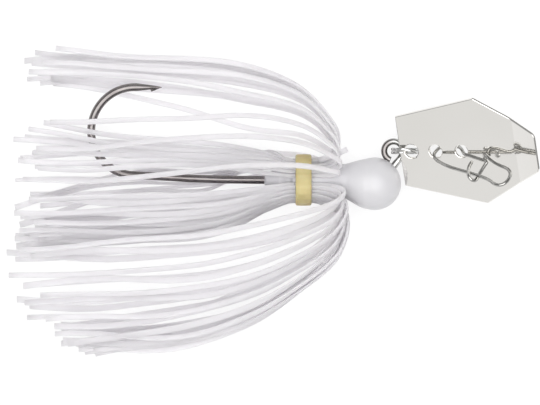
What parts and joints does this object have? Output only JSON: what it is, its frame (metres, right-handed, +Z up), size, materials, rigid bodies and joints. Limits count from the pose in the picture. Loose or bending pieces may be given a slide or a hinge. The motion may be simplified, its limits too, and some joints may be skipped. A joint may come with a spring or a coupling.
{
  "type": "bladed fishing jig",
  "caption": "Skirted fishing jig: a weighted ball head on a hook, a silicone skirt held by a band, and a hexagonal steel blade that swings on a split ring, with a snap for the line.",
  "frame": {"origin": "middle of the part's box in X and Y, on the surface that the jig lies on", "axes": "+X from the skirt's tips towards the blade, along the hook's shank; +Y across the shank, towards the hook's point; +Z up, square to the plane that the hook lies in"},
  "size_m": [0.0918, 0.0532, 0.0213],
  "materials": {
    "head_paint": "white gloss paint on a cast head",
    "hook_wire": "black nickel plate on drawn wire",
    "band_rubber": "smooth tan latex",
    "skirt_silicone": "cloudy white silicone strip, semi-gloss",
    "ring_steel": "bright nickel plate",
    "blade_steel": "bright nickel plate, mirror-like",
    "snap_wire": "bright drawn stainless wire"
  },
  "bodies": {
    "jig": {"head": "head_paint", "hook": "hook_wire", "skirt_band": "band_rubber", "strand_01": "skirt_silicone", "strand_02": "skirt_silicone", "strand_03": "skirt_silicone", "strand_04": "skirt_silicone", "strand_05": "skirt_silicone", "strand_06": "skirt_silicone", "strand_07": "skirt_silicone", "strand_08": "skirt_silicone", "strand_09": "skirt_silicone", "strand_10": "skirt_silicone", "strand_11": "skirt_silicone", "strand_12": "skirt_silicone", "strand_13": "skirt_silicone", "strand_14": "skirt_silicone", "strand_15": "skirt_silicone", "strand_16": "skirt_silicone", "strand_17": "skirt_silicone", "strand_18": "skirt_silicone", "strand_19": "skirt_silicone", "strand_20": "skirt_silicone", "strand_21": "skirt_silicone", "strand_22": "skirt_silicone", "strand_23": "skirt_silicone", "strand_24": "skirt_silicone"},
    "split_ring": {"split_ring": "ring_steel"},
    "blade": {"blade": "blade_steel"},
    "snap": {"snap": "snap_wire"}
  },
  "joints": [
    {"name": "ring_swing", "type": "hinge", "parent": "jig", "child": "split_ring", "pos_m": [0.02252, 0.00905, 0.0046], "axis": [0, 1, 0], "range_deg": [-20, 100]},
    {"name": "blade_swing", "type": "hinge", "parent": "split_ring", "child": "blade", "pos_m": [0.02294, 0.00905, 0.0059], "axis": [0, 1, 0], "range_deg": [-45, 20]},
    {"name": "snap_swing", "type": "hinge", "parent": "blade", "child": "snap", "pos_m": [0.024, 0.00905, 0.00767], "axis": [0.9164, 0, 0.4003], "range_deg": [-65, 24]}
  ]
}
